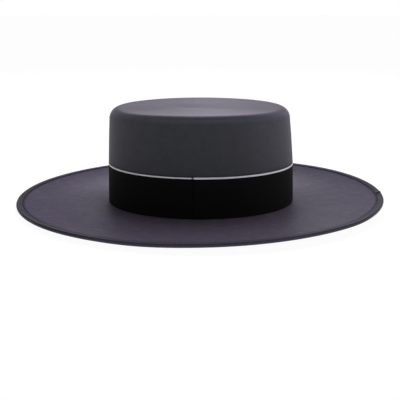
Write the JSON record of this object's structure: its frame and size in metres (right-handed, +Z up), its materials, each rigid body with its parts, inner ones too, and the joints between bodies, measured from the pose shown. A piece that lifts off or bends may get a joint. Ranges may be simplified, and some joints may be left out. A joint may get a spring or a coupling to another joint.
{
  "type": "gaucho hat",
  "caption": "Stiff felt hat with a low flat-topped crown, a wide brim that rises slightly to a bound edge, and a black ribbon with a white piping round the crown.",
  "frame": {"origin": "on the surface the hat rests on, under the middle of the brim", "axes": "+Z up, -Y to the front of the hat, +X to the wearer's left; the brim is longest along Y"},
  "size_m": [0.3664, 0.4034, 0.107],
  "materials": {
    "felt": "matte wool felt, charcoal with a violet cast",
    "band_ribbon": "black ribbed ribbon, matte",
    "piping": "white cord, matte",
    "binding_ribbon": "dark grey-violet ribbed ribbon, matte"
  },
  "bodies": {
    "root": {"felt_body": "felt", "ribbon_band": "band_ribbon", "band_piping": "piping", "brim_binding": "binding_ribbon"}
  },
  "joints": []
}
